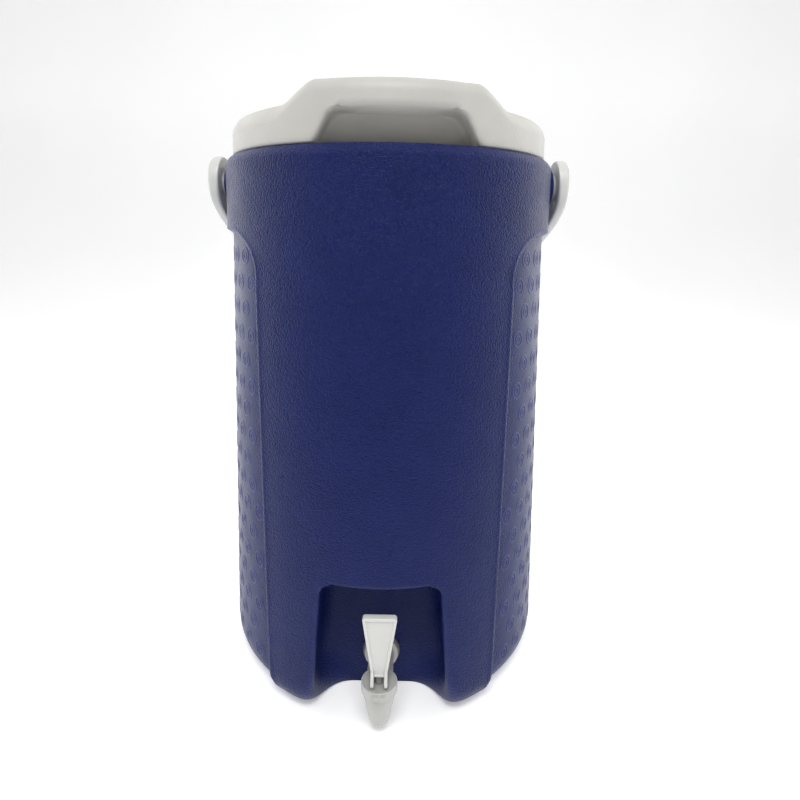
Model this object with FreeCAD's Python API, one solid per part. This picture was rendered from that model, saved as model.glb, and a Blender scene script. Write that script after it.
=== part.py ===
import FreeCAD, Part
import math
import os

os.makedirs("parts", exist_ok=True)

V = FreeCAD.Vector

# Round insulated drinks cooler with a lift-out twist lid, a swinging bail
# handle and a self-closing lever tap in a recess at the foot of the front.
# Millimetres, origin on the body axis at the resting plane, +Z up, the tap
# faces -Y.

# ---- driving dimensions -------------------------------------------------
R_SHOULDER = 122.0        # outer radius of the smooth ring under the lid
Z_SEAM = 381.0            # top of the body, where the lid lands
R_SEAM = 114.0            # body radius at the seam after the rim rounding
Z_RIM = 373.0             # start of the rim rounding
R_SIDE_TOP = 118.0        # recessed side panel, top
R_SIDE_BOT = 124.0        # recessed side panel, bottom
R_PROUD_BOT = 128.0       # proud front and rear panel, bottom
Z_WINDOW = 329.0          # top of the recessed side panels
WALL = 3.0                # outer shell wall
R_BASE = 100.0            # flat under the sides
R_FOOT = 115.0            # flat under front and rear panels

R_TANK = 97.0             # inside radius of the tank
T_TANK = 2.5              # tank wall
Z_TANK = 12.5             # tank floor, inside
Z_STEP = 116.0            # top of the flattened tank front behind the tap
Y_FLAT = -71.5            # inside of that flattened front

REC_TOP = 102.0           # top of the tap recess
REC_Y = -85.5             # back wall of the tap recess
REC_HW_TOP = 39.0         # recess half width at the top
REC_HW_BOT = 47.0         # recess half width at the bottom
REC_R = 18.0              # upright corner radius of the recess

LID_R = 116.3
LID_SHOULDER_Z = 406.0
LID_TOP_Z = 417.8
BAND_TOP = 50.0           # half width of the raised band, top
BAND_BASE = 70.0          # half width of the raised band, foot of the ramp
POCKET_Z = 401.0
POCKET_HW_BOT = 49.0
POCKET_HW_TOP = 41.0
POCKET_D = 30.0
LID_WALL = 2.5
LID_REST = 4.0            # lid sits turned by this much, degrees

PIV_Z = 364.0             # handle pivot height
EAR_IN = 127.5
EAR_T = 7.5
EAR_R = 20.8
BAIL_L = 175.0            # pivot to inside of the grip
STRAP_W = 30.0
HANG = 51.5               # resting angle behind straight down, degrees
BOSS_R = 14.0
BOSS_X = 125.3
STUD_R = 5.0
HEAD_X = EAR_IN + 4.0     # seat of the stud head inside the ear

TAP_Z = 27.0              # shank axis height
TAP_Y = -125.7            # upright barrel axis
FLANGE_Y = -90.5          # front of the tap flange
FLANGE_R = 12.3
SHANK_R = 9.0
WATER_R = 5.5
BONNET_Z = 37.0
BONNET_R = 12.1
CHAMBER_R = 6.4
SEAT_Z = 14.0
THROAT_R = 4.0
NOZZLE_Z = 6.8
STEM_R = 3.0
PIN_R = 1.5
PIN_Z = 42.0
CAM_E = 5.0               # cam centre in front of the pin
CAM_R = 4.9
RUN = 0.05                # radial clearance of the running fits


# ---- small helpers ------------------------------------------------------
def cyl(r, h, p, d=V(0, 0, 1)):
    return Part.makeCylinder(r, h, V(*p), d)


def ring(r1, r0, h, p, d=V(0, 0, 1)):
    return cyl(r1, h, p, d).cut(cyl(r0, h, p, d))


def revolve(pts, arcs=()):
    """Closed profile of (r, z) points; arcs maps a segment start index to a
    mid point."""
    arcs = dict(arcs)
    edges = []
    n = len(pts)
    for i in range(n):
        a = V(pts[i][0], 0, pts[i][1])
        b = V(pts[(i + 1) % n][0], 0, pts[(i + 1) % n][1])
        if i in arcs:
            m = V(arcs[i][0], 0, arcs[i][1])
            edges.append(Part.Arc(a, m, b).toShape())
        else:
            edges.append(Part.makeLine(a, b))
    face = Part.Face(Part.Wire(edges))
    return face.revolve(V(0, 0, 0), V(0, 0, 1), 360)


def poly_face(pts):
    w = Part.makePolygon([V(*p) for p in pts] + [V(*pts[0])])
    return Part.Face(w)


def save(shape, name):
    solids = shape.Solids
    if len(solids) == 1:
        shape = solids[0]
    shape.exportStep("parts/%s.step" % name)


# ---- tap recess cutter --------------------------------------------------
def recess(grow):
    """Scoop for the tap; grow widens it on the inside for the wall."""
    def plan(hw, z):
        y0 = REC_Y + grow
        y1 = -150.0
        hw = hw + grow
        r = REC_R + grow
        k = r * (1 - math.sqrt(0.5))
        e = [Part.makeLine(V(-hw, y1, z), V(-hw, y0 - r, z)),
             Part.Arc(V(-hw, y0 - r, z), V(-hw + k, y0 - k, z),
                      V(-hw + r, y0, z)).toShape(),
             Part.makeLine(V(-hw + r, y0, z), V(hw - r, y0, z)),
             Part.Arc(V(hw - r, y0, z), V(hw - k, y0 - k, z),
                      V(hw, y0 - r, z)).toShape(),
             Part.makeLine(V(hw, y0 - r, z), V(hw, y1, z)),
             Part.makeLine(V(hw, y1, z), V(-hw, y1, z))]
        return Part.Wire(e)
    slope = (REC_HW_BOT - REC_HW_TOP) / REC_TOP
    za, zb = -6.0, REC_TOP + grow
    body = Part.makeLoft([plan(REC_HW_BOT - slope * za, za),
                          plan(REC_HW_BOT - slope * zb, zb)], True, True)
    # rounded upper corners, seen from the front
    hw = REC_HW_TOP + grow
    rr = 8.0 + grow
    k = rr * (1 - math.sqrt(0.5))
    y = -160.0
    b = REC_HW_BOT + grow + 2.0
    e = [Part.makeLine(V(-b, y, -8), V(-b, y, 0)),
         Part.makeLine(V(-b, y, 0), V(-hw, y, zb - rr)),
         Part.Arc(V(-hw, y, zb - rr), V(-hw + k, y, zb - k),
                  V(-hw + rr, y, zb)).toShape(),
         Part.makeLine(V(-hw + rr, y, zb), V(hw - rr, y, zb)),
         Part.Arc(V(hw - rr, y, zb), V(hw - k, y, zb - k),
                  V(hw, y, zb - rr)).toShape(),
         Part.makeLine(V(hw, y, zb - rr), V(b, y, 0)),
         Part.makeLine(V(b, y, 0), V(b, y, -8)),
         Part.makeLine(V(b, y, -8), V(-b, y, -8))]
    front = Part.Face(Part.Wire(e)).extrude(V(0, 120, 0))
    return body.common(front)


# ---- outer shell --------------------------------------------------------
proud = revolve([(0, 0), (R_FOOT, 0), (126.0, 8.0), (R_PROUD_BOT, 18.0),
                 (R_SHOULDER, 320.0), (R_SHOULDER, Z_RIM), (R_SEAM, Z_SEAM),
                 (0, Z_SEAM)],
                {1: (121.6, 2.6), 5: (119.66, 378.66)})
side = revolve([(0, -1), (R_BASE, -1), (R_BASE, 0), (114.0, 4.0),
                (R_SIDE_BOT, 14.0), (R_SIDE_TOP, 318.0), (124.0, 324.0),
                (124.0, 390), (0, 390)])
# recessed side panels, seen from the side: open below, rounded shoulders
wr = 30.0
wk = wr * (1 - math.sqrt(0.5))
wt, wm, wb, wf = 89.5, 292.0, 102.0, 97.0
e = [Part.makeLine(V(0, -wf, -5), V(0, -wb, 12)),
     Part.makeLine(V(0, -wb, 12), V(0, -wt, Z_WINDOW - wr)),
     Part.Arc(V(0, -wt, Z_WINDOW - wr), V(0, -wt + wk, Z_WINDOW - wk),
              V(0, -wt + wr, Z_WINDOW)).toShape(),
     Part.makeLine(V(0, -wt + wr, Z_WINDOW), V(0, wt - wr, Z_WINDOW)),
     Part.Arc(V(0, wt - wr, Z_WINDOW), V(0, wt - wk, Z_WINDOW - wk),
              V(0, wt, Z_WINDOW - wr)).toShape(),
     Part.makeLine(V(0, wt, Z_WINDOW - wr), V(0, wb, 12)),
     Part.makeLine(V(0, wb, 12), V(0, wf, -5)),
     Part.makeLine(V(0, wf, -5), V(0, -wf, -5))]
window = Part.Face(Part.Wire(e)).extrude(V(160, 0, 0))
window_l = window.mirror(V(0, 0, 0), V(1, 0, 0))
body = proud.cut(window.cut(side)).cut(window_l.cut(side))

cavity = revolve([(0, WALL), (97.0, WALL), (111.5, 7.2), (121.0, 16.0),
                  (115.0, 316.0), (119.0, 332.0), (119.0, 371.5),
                  (116.8, 376.2), (111.0, 378.5), (111.0, Z_SEAM + 2),
                  (0, Z_SEAM + 2)])
scoop = recess(0.0)
scoop_in = recess(WALL)
cavity = cavity.cut(scoop_in)
shell = body.cut(scoop).cut(cavity)
for s in (-1, 1):
    d = V(s, 0, 0)
    boss = cyl(BOSS_R, BOSS_X - 119.5, (s * 119.5, 0, PIV_Z), d)
    boss_in = cyl(9.0, 10.0, (s * 110.0, 0, PIV_Z), d)
    shell = shell.fuse(boss.fuse(boss_in))
    shell = shell.cut(cyl(STUD_R, 20, (s * 112.0, 0, PIV_Z), d))
# tap hole and foam fill hole
shell = shell.cut(cyl(SHANK_R, 12, (0, REC_Y - 4, TAP_Z), V(0, 1, 0)))
FILL = (0, 60.0)
shell = shell.cut(cyl(8.0, 6, (FILL[0], FILL[1], -1)))
save(shell, "outer_shell")

# ---- tank ---------------------------------------------------------------
ro = R_TANK + T_TANK
tank_out = cyl(ro, 378.5 - (Z_TANK - T_TANK), (0, 0, Z_TANK - T_TANK))
tank_in = cyl(R_TANK, 400, (0, 0, Z_TANK))


def flat(y, ztop):
    pts = [(0, y, -5), (0, y, ztop), (0, -130, ztop + 34), (0, -130, -5)]
    return poly_face([(-120, p[1], p[2]) for p in pts]).extrude(V(240, 0, 0))


tank_out = tank_out.cut(flat(Y_FLAT - T_TANK, Z_STEP))
tank_in = tank_in.cut(flat(Y_FLAT, Z_STEP + 1.2))
flange = cyl(111.0, 2.5, (0, 0, 378.5))
liner = tank_out.fuse(flange).cut(tank_in)
# three ledges inside the mouth that hold the lid lugs
for i in range(3):
    a = i * 120.0 + 90.0
    seg = Part.makeCylinder(R_TANK, 3.0, V(0, 0, 375.0), V(0, 0, 1), 30)
    seg = seg.cut(cyl(94.7, 3.0, (0, 0, 375.0)))
    seg.rotate(V(0, 0, 0), V(0, 0, 1), a - 15.0)
    liner = liner.fuse(seg)
liner = liner.cut(cyl(SHANK_R, 12, (0, Y_FLAT - 6, TAP_Z), V(0, 1, 0)))
save(liner.removeSplitter(), "inner_liner")

# ---- foam, sleeve, plug -------------------------------------------------
sleeve_y0 = REC_Y + WALL
sleeve_y1 = Y_FLAT - T_TANK
sleeve = ring(11.5, SHANK_R, sleeve_y1 - sleeve_y0, (0, sleeve_y0, TAP_Z),
              V(0, 1, 0))
save(sleeve, "tap_sleeve")

foam = cavity.common(cyl(140, 378.5, (0, 0, 0))).cut(tank_out)
foam = foam.cut(cyl(11.5, sleeve_y1 - sleeve_y0, (0, sleeve_y0, TAP_Z),
                    V(0, 1, 0)))
for s in (-1, 1):
    foam = foam.cut(cyl(9.0, 12.0, (s * 110.0, 0, PIV_Z), V(s, 0, 0)))
save(foam, "foam_core")

plug = cyl(8.0, 2.2, (FILL[0], FILL[1], 0.8))
plug = plug.cut(ring(5.5, 4.3, 0.6, (FILL[0], FILL[1], 0.8)))
save(plug, "foam_fill_plug")


# ---- lid ----------------------------------------------------------------
def pocket(grow):
    hb, ht = POCKET_HW_BOT + grow, POCKET_HW_TOP + grow
    zt = POCKET_Z + grow
    out = []
    for s in (-1, 1):
        yi = s * (LID_R - POCKET_D - grow)
        rr = 6.0 + grow
        k = rr * (1 - math.sqrt(0.5))
        y = yi
        e = [Part.makeLine(V(-hb - 1, y, 378), V(-ht, y, zt - rr)),
             Part.Arc(V(-ht, y, zt - rr), V(-ht + k, y, zt - k),
                      V(-ht + rr, y, zt)).toShape(),
             Part.makeLine(V(-ht + rr, y, zt), V(ht - rr, y, zt)),
             Part.Arc(V(ht - rr, y, zt), V(ht - k, y, zt - k),
                      V(ht, y, zt - rr)).toShape(),
             Part.makeLine(V(ht, y, zt - rr), V(hb + 1, y, 378)),
             Part.makeLine(V(hb + 1, y, 378), V(-hb - 1, y, 378))]
        out.append(Part.Face(Part.Wire(e)).extrude(V(0, s * 60, 0)))
    return out[0].fuse(out[1])


def lid_solid(t):
    """Outside of the lid pulled in by t."""
    r = LID_R - t
    zs = LID_SHOULDER_Z - t
    zt = LID_TOP_Z - t
    q = math.sqrt(0.5)
    low = revolve([(0, Z_SEAM), (r, Z_SEAM), (r, zs - 9), (r - 9, zs),
                   (0, zs)], {2: (r - 9 + 9 * q, zs - 9 + 9 * q)})
    high = revolve([(0, Z_SEAM), (r, Z_SEAM), (r, zt - 9), (r - 9, zt),
                    (0, zt)], {2: (r - 9 + 9 * q, zt - 9 + 9 * q)})
    b, a = BAND_BASE - t, BAND_TOP - t
    band = poly_face([(-b, -150, Z_SEAM), (-b, -150, zs), (-a, -150, zt),
                      (a, -150, zt), (b, -150, zs), (b, -150, Z_SEAM)])
    band = band.extrude(V(0, 300, 0))
    return low.fuse(high.common(band))


lid_out = lid_solid(0.0).cut(pocket(0.0))
lid_in = lid_solid(LID_WALL).cut(pocket(LID_WALL))
lid_shell = lid_out.cut(lid_in)

# plug plate: closes the underside, drops into the tank mouth
PLATE_Z1 = 384.0
plate = lid_in.common(cyl(200, PLATE_Z1 - Z_SEAM, (0, 0, Z_SEAM)))
cup = cyl(94.0, Z_SEAM - 366.0, (0, 0, 366.0))
lid_plug = plate.fuse(cup)
lid_plug = lid_plug.cut(cyl(80.0, 14.0, (0, 0, 370.0)))
lid_plug = lid_plug.cut(ring(95.0, 92.5, 2.0, (0, 0, 378.5)))
for i in range(3):
    a = i * 120.0 + 90.0 + 40.0
    seg = Part.makeCylinder(96.6, 3.0, V(0, 0, 371.0), V(0, 0, 1), 24)
    seg = seg.cut(cyl(93.0, 3.0, (0, 0, 371.0)))
    seg.rotate(V(0, 0, 0), V(0, 0, 1), a - 12.0)
    lid_plug = lid_plug.fuse(seg)
lid_plug = lid_plug.removeSplitter()
gasket = ring(R_TANK - RUN, 92.5 + RUN, 1.9, (0, 0, 378.55))
lid_foam = lid_in.common(cyl(200, 60, (0, 0, PLATE_Z1)))
lid_foam = lid_foam.fuse(cyl(80.0, 14.0, (0, 0, 370.0)))
for nm, sh in (("lid_shell", lid_shell), ("lid_plug", lid_plug),
               ("lid_foam", lid_foam), ("lid_gasket", gasket)):
    sh = sh.copy()
    sh.rotate(V(0, 0, 0), V(0, 0, 1), LID_REST)
    save(sh, nm)

# ---- bail handle --------------------------------------------------------


def half_ellipse(a, b, w):
    """Half of an elliptical disc hanging below the pivot, w wide along Y."""
    el = Part.Ellipse(V(0, b, 0), V(a, 0, 0), V(0, 0, 0)) if b > a else \
        Part.Ellipse(V(a, 0, 0), V(0, b, 0), V(0, 0, 0))
    f = Part.Face(Part.Wire([el.toShape()]))
    f.rotate(V(0, 0, 0), V(1, 0, 0), 90)
    f.translate(V(0, w / 2.0, 0))
    solid = f.extrude(V(0, -w, 0))
    return solid.common(Part.makeBox(400, 400, 300, V(-200, -200, -300)))


bail = half_ellipse(EAR_IN + EAR_T, BAIL_L + EAR_T, STRAP_W)
bail = bail.cut(half_ellipse(EAR_IN, BAIL_L, STRAP_W + 4))
# grip zone narrows to a palm width with eased waist on both long edges
bail = bail.removeSplitter()
for s in (-1, 1):
    d = V(s, 0, 0)
    ear = cyl(EAR_R, EAR_T, (s * EAR_IN, 0, 0), d)
    arch = half_ellipse(EAR_IN + EAR_T, BAIL_L + EAR_T, 60)
    arch = arch.cut(half_ellipse(EAR_IN, BAIL_L, 64))
    side_box = Part.makeBox(60, 80, 60, V(100 if s > 0 else -160, -40, -48))
    flare = poly_face([(s * 100, -EAR_R, 0), (s * 100, EAR_R, 0),
                       (s * 100, 15.0, -45), (s * 100, -15.0, -45)])
    flare = flare.extrude(V(s * 60, 0, 0))
    flare = arch.common(flare)
    bail = bail.fuse(ear).fuse(flare)
    bail = bail.fuse(cyl(9.0, 2.0, (s * (EAR_IN - 2.0), 0, 0), d))
for s in (-1, 1):
    d = V(s, 0, 0)
    bail = bail.cut(cyl(STUD_R + RUN, 30, (s * 120.0, 0, 0), d))
    bail = bail.cut(cyl(9.6, 10, (s * (HEAD_X - 0.1), 0, 0), d))
bail = bail.removeSplitter()
bail.rotate(V(0, 0, 0), V(1, 0, 0), HANG)
bail.translate(V(0, 0, PIV_Z))
save(bail, "bail_handle")

for s, nm in ((-1, "handle_stud_left"), (1, "handle_stud_right")):
    d = V(s, 0, 0)
    stud = cyl(STUD_R, HEAD_X - 112.0, (s * 112.0, 0, PIV_Z), d)
    head = cyl(9.0, 3.2, (s * HEAD_X, 0, PIV_Z), d)
    stud = stud.fuse(head).removeSplitter()
    save(stud, nm)

# ---- tap ----------------------------------------------------------------
SHANK_END = -56.0
back = REC_Y
flange = cyl(FLANGE_R, back - 1.5 - FLANGE_Y, (0, FLANGE_Y, TAP_Z),
             V(0, 1, 0))
shank = cyl(SHANK_R, SHANK_END - FLANGE_Y, (0, FLANGE_Y, TAP_Z), V(0, 1, 0))
neck = cyl(SHANK_R, FLANGE_Y - TAP_Y, (0, TAP_Y, TAP_Z), V(0, 1, 0))
neck = neck.cut(cyl(12.3, 12, (0, TAP_Y, 31.1)))
barrel = revolve([(0, NOZZLE_Z), (5.4, NOZZLE_Z), (6.6, 8.2), (10.5, 27.0), (10.8, 30.0),
                  (11.0, 31.2), (11.0, 34.5), (0, 34.5)])
barrel.translate(V(0, TAP_Y, 0))
tap = barrel.fuse(neck).fuse(shank).fuse(flange)
tap = tap.cut(cyl(THROAT_R, 30, (0, TAP_Y, -2)))
# valve chamber, narrow round the cup and wider round the spring
tap = tap.cut(cyl(CHAMBER_R, 30, (0, TAP_Y, SEAT_Z)))
tap = tap.cut(cyl(WATER_R, 80, (0, TAP_Y, TAP_Z), V(0, 1, 0)))
save(tap.removeSplitter(), "tap_body")

bonnet = revolve([(0, 34.5), (11.0, 34.5), (11.0, 31.2), (BONNET_R, 31.2),
                  (BONNET_R, BONNET_Z - 1.0), (BONNET_R - 1.0, BONNET_Z),
                  (0, BONNET_Z)])
bonnet = bonnet.cut(cyl(STEM_R + RUN, 10, (0, 0, 30)))
bonnet = bonnet.fuse(Part.makeBox(8.6, 1.6, 5.0,
                                  V(-4.3, -BONNET_R - 0.9, 31.2)))
bonnet = bonnet.cut(cyl(11.0, 3.3, (0, 0, 31.2)))
bonnet.translate(V(0, TAP_Y, 0))
save(bonnet.removeSplitter(), "tap_bonnet")

cup = cyl(5.4, 5.0, (0, TAP_Y, SEAT_Z))
cup = cup.cut(cyl(STEM_R, 4.0, (0, TAP_Y, SEAT_Z + 2.0)))
save(cup, "tap_seat_cup")

stem = cyl(STEM_R, PIN_Z + 3.4 - SEAT_Z - 2.0, (0, TAP_Y, SEAT_Z + 2.0))
stem = stem.cut(cyl(PIN_R, 20, (-10, TAP_Y, PIN_Z), V(1, 0, 0)))
save(stem, "tap_stem")

pin = cyl(PIN_R, 11.2, (-5.6, TAP_Y, PIN_Z), V(1, 0, 0))
save(pin, "tap_lever_pin")

# spring between the cup and the underside of the bonnet
SP_Z0, SP_Z1 = SEAT_Z + 5.0, 34.5
wire_r, coil_r, turns, per_turn, sides = 0.4, 4.5, 5, 12, 6
z_lo, z_hi = SP_Z0 + wire_r + 0.05, SP_Z1 - wire_r - 0.05
rows = []
for i in range(turns * per_turn + 1):
    t = 2 * math.pi * i / per_turn
    z = z_lo + (z_hi - z_lo) * i / float(turns * per_turn)
    row = []
    for k in range(sides):
        u = 2 * math.pi * k / sides
        rr = coil_r + wire_r * math.cos(u)
        row.append(V(rr * math.cos(t), rr * math.sin(t),
                     z + wire_r * math.sin(u)))
    rows.append(row)


def tri(a, b, c):
    return Part.Face(Part.makePolygon([a, b, c, a]))


faces = []
for i in range(len(rows) - 1):
    for k in range(sides):
        a, b = rows[i][k], rows[i][(k + 1) % sides]
        c, d = rows[i + 1][(k + 1) % sides], rows[i + 1][k]
        faces.append(tri(a, b, c))
        faces.append(tri(a, c, d))
faces.append(Part.Face(Part.makePolygon(rows[0] + [rows[0][0]])))
faces.append(Part.Face(Part.makePolygon(rows[-1] + [rows[-1][0]])))
spring = Part.makeSolid(Part.makeShell(faces))
if spring.Volume < 0:
    spring.reverse()
spring.translate(V(0, TAP_Y, 0))
save(spring, "tap_spring")

# lever: tapered blade with a raised border, two legs ending in a cam
LEG_IN, LEG_OUT = 3.3, 5.6
blade_y0, blade_y1 = -2.6, 2.6
Z_LEG, Z_TOPL = 50.0, 84.0
outline = [(-5.6, 0, Z_LEG - 3), (-6.6, 0, Z_LEG + 4), (-11.6, 0, Z_TOPL - 1.5),
           (-10.6, 0, Z_TOPL), (10.6, 0, Z_TOPL), (11.6, 0, Z_TOPL - 1.5),
           (6.6, 0, Z_LEG + 4), (5.6, 0, Z_LEG - 3)]
blade = poly_face([(p[0], blade_y0, p[2]) for p in outline])
blade = blade.extrude(V(0, blade_y1 - blade_y0, 0))
inner = [(-3.6, 0, Z_LEG + 2), (-8.8, 0, Z_TOPL - 3.2), (8.8, 0, Z_TOPL - 3.2),
         (3.6, 0, Z_LEG + 2)]
inner = poly_face([(p[0], blade_y0 - 1, p[2]) for p in inner])
blade = blade.cut(inner.extrude(V(0, 2.4, 0)))
legs = None
for s in (-1, 1):
    x0 = s * LEG_IN if s > 0 else -LEG_OUT
    hub = cyl(3.6, LEG_OUT - LEG_IN, (x0, 0, PIN_Z), V(1, 0, 0))
    cam = cyl(CAM_R, LEG_OUT - LEG_IN, (x0, -CAM_E, PIN_Z), V(1, 0, 0))
    strut = poly_face([(x0, -3.4, PIN_Z), (x0, 3.4, PIN_Z), (x0, blade_y1, Z_LEG),
                       (x0, blade_y0, Z_LEG)])
    strut = strut.extrude(V(LEG_OUT - LEG_IN, 0, 0))
    gus = poly_face([(x0, -CAM_E - 3.2, PIN_Z + 3.7), (x0, -1.0, PIN_Z - 3.0),
                     (x0, 2.0, PIN_Z + 2.0), (x0, blade_y0, Z_LEG)])
    gus = gus.extrude(V(LEG_OUT - LEG_IN, 0, 0))
    leg = hub.fuse(cam).fuse(strut).fuse(gus)
    legs = leg if legs is None else legs.fuse(leg)
apron = poly_face([(-LEG_OUT, -5.4, PIN_Z + 1.6), (-LEG_OUT, -3.7, PIN_Z + 1.6),
                   (-LEG_OUT, -3.7, PIN_Z + 5.4), (-LEG_OUT, 0.0, PIN_Z + 5.8),
                   (-LEG_OUT, 0.0, Z_LEG + 1), (-LEG_OUT, -2.6, Z_LEG + 1)])
apron = apron.extrude(V(2 * LEG_OUT, 0, 0))
lever = blade.fuse(legs)
lever = lever.cut(cyl(PIN_R + RUN, 20, (-10, 0, PIN_Z), V(1, 0, 0)))
lever = lever.cut(Part.makeBox(2 * LEG_IN, 14, PIN_Z + 5.2 - 30,
                               V(-LEG_IN, -8, 30)))
lever = lever.fuse(apron)
lever.translate(V(0, TAP_Y, 0))
save(lever.removeSplitter(), "tap_lever")

ow = ring(13.3, SHANK_R, 1.5, (0, back - 1.5, TAP_Z), V(0, 1, 0))
save(ow, "tap_outer_washer")
iw = ring(13.2, SHANK_R, 2.0, (0, Y_FLAT, TAP_Z), V(0, 1, 0))
save(iw, "tap_inner_washer")
hexp = []
for i in range(6):
    a = math.radians(60 * i)
    hexp.append((13.2 * math.cos(a), Y_FLAT + 2.0, TAP_Z + 13.2 * math.sin(a)))
nut = poly_face(hexp).extrude(V(0, 7.0, 0))
nut = nut.cut(cyl(SHANK_R, 20, (0, Y_FLAT, TAP_Z), V(0, 1, 0)))
save(nut, "tap_nut")
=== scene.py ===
import bpy, bmesh, math
import numpy as np
import mathutils.geometry
from mathutils import Vector, Matrix


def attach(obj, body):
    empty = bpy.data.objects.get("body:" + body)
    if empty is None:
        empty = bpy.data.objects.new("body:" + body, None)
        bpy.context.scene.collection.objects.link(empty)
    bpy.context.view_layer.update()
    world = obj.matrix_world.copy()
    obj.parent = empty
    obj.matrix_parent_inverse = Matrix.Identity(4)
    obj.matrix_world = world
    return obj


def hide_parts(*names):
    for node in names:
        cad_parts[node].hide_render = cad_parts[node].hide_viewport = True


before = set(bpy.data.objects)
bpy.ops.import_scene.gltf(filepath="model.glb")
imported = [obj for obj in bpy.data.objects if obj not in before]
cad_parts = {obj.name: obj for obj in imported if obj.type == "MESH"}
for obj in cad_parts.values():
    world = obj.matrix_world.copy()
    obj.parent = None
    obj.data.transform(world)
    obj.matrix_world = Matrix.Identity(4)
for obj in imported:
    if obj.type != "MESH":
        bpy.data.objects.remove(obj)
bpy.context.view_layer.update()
MM = 0.001

# ------------------------------------------------------------------ helpers


def sm(t):
    t = min(1.0, max(0.0, t))
    return t * t * (3 - 2 * t)


def mesh_obj(name, verts, faces, smooth=True, scale=MM):
    me = bpy.data.meshes.new(name)
    me.from_pydata([tuple(c * scale for c in v) for v in verts], [], faces)
    me.validate()
    me.update()
    if smooth:
        me.polygons.foreach_set("use_smooth", [True] * len(me.polygons))
    ob = bpy.data.objects.new(name, me)
    bpy.context.scene.collection.objects.link(ob)
    return ob


def fix_normals(ob):
    bm = bmesh.new()
    bm.from_mesh(ob.data)
    bmesh.ops.recalc_face_normals(bm, faces=bm.faces)
    bm.to_mesh(ob.data)
    bm.free()
    ob.data.update()


def apply_mods(ob):
    dg = bpy.context.evaluated_depsgraph_get()
    me = bpy.data.meshes.new_from_object(ob.evaluated_get(dg))
    old = ob.data
    ob.modifiers.clear()
    ob.data = me
    bpy.data.meshes.remove(old)


def join(objs, name):
    bpy.ops.object.select_all(action="DESELECT")
    for o in objs:
        o.select_set(True)
    bpy.context.view_layer.objects.active = objs[0]
    bpy.ops.object.join()
    objs[0].name = name
    return objs[0]


def grid_faces(rings, closed=True):
    """rings: list of equally long vertex index lists."""
    f = []
    for a, b in zip(rings[:-1], rings[1:]):
        n = len(a)
        for i in range(n if closed else n - 1):
            j = (i + 1) % n
            f.append((a[i], a[j], b[j], b[i]))
    return f


def lathe(name, prof, axis="Z", centre=(0, 0, 0), n=64, cap=True):
    """prof: (r, h) points in mm along the axis."""
    verts, rings = [], []
    for r, h in prof:
        ring = []
        for i in range(n):
            a = 2 * math.pi * i / n
            c, s = math.cos(a) * r, math.sin(a) * r
            if axis == "Z":
                p = (c, s, h)
            elif axis == "Y":
                p = (c, h, s)
            else:
                p = (h, c, s)
            ring.append(len(verts))
            verts.append(tuple(p[k] + centre[k] for k in range(3)))
        rings.append(ring)
    faces = grid_faces(rings)
    if cap:
        faces.append(tuple(rings[0]))
        faces.append(tuple(rings[-1]))
    ob = mesh_obj(name, verts, faces)
    fix_normals(ob)
    return ob


def fillet(pts, radii, seg=5):
    """Rounds the inner corners of an open (x, y) polyline."""
    out = [pts[0]]
    for i in range(1, len(pts) - 1):
        r = radii[i] if i < len(radii) else 0
        p0, p1, p2 = (np.array(pts[k], float) for k in (i - 1, i, i + 1))
        a, b = p0 - p1, p2 - p1
        la, lb = np.linalg.norm(a), np.linalg.norm(b)
        if r <= 0 or la < 1e-6 or lb < 1e-6:
            out.append(tuple(p1))
            continue
        a, b = a / la, b / lb
        ang = math.acos(max(-1, min(1, float(a @ b))))
        if ang > math.pi - 0.02:
            out.append(tuple(p1))
            continue
        d = min(r / math.tan(ang / 2), 0.48 * la, 0.48 * lb)
        r = d * math.tan(ang / 2)
        c = p1 + (a + b) / np.linalg.norm(a + b) * (r / math.sin(ang / 2))
        s, e = p1 + a * d - c, p1 + b * d - c
        t0, t1 = math.atan2(s[1], s[0]), math.atan2(e[1], e[0])
        dt = (t1 - t0 + math.pi) % (2 * math.pi) - math.pi
        for k in range(seg + 1):
            t = t0 + dt * k / seg
            out.append((c[0] + r * math.cos(t), c[1] + r * math.sin(t)))
    out.append(pts[-1])
    return out


# ---------------------------------------------------------------- materials


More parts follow.
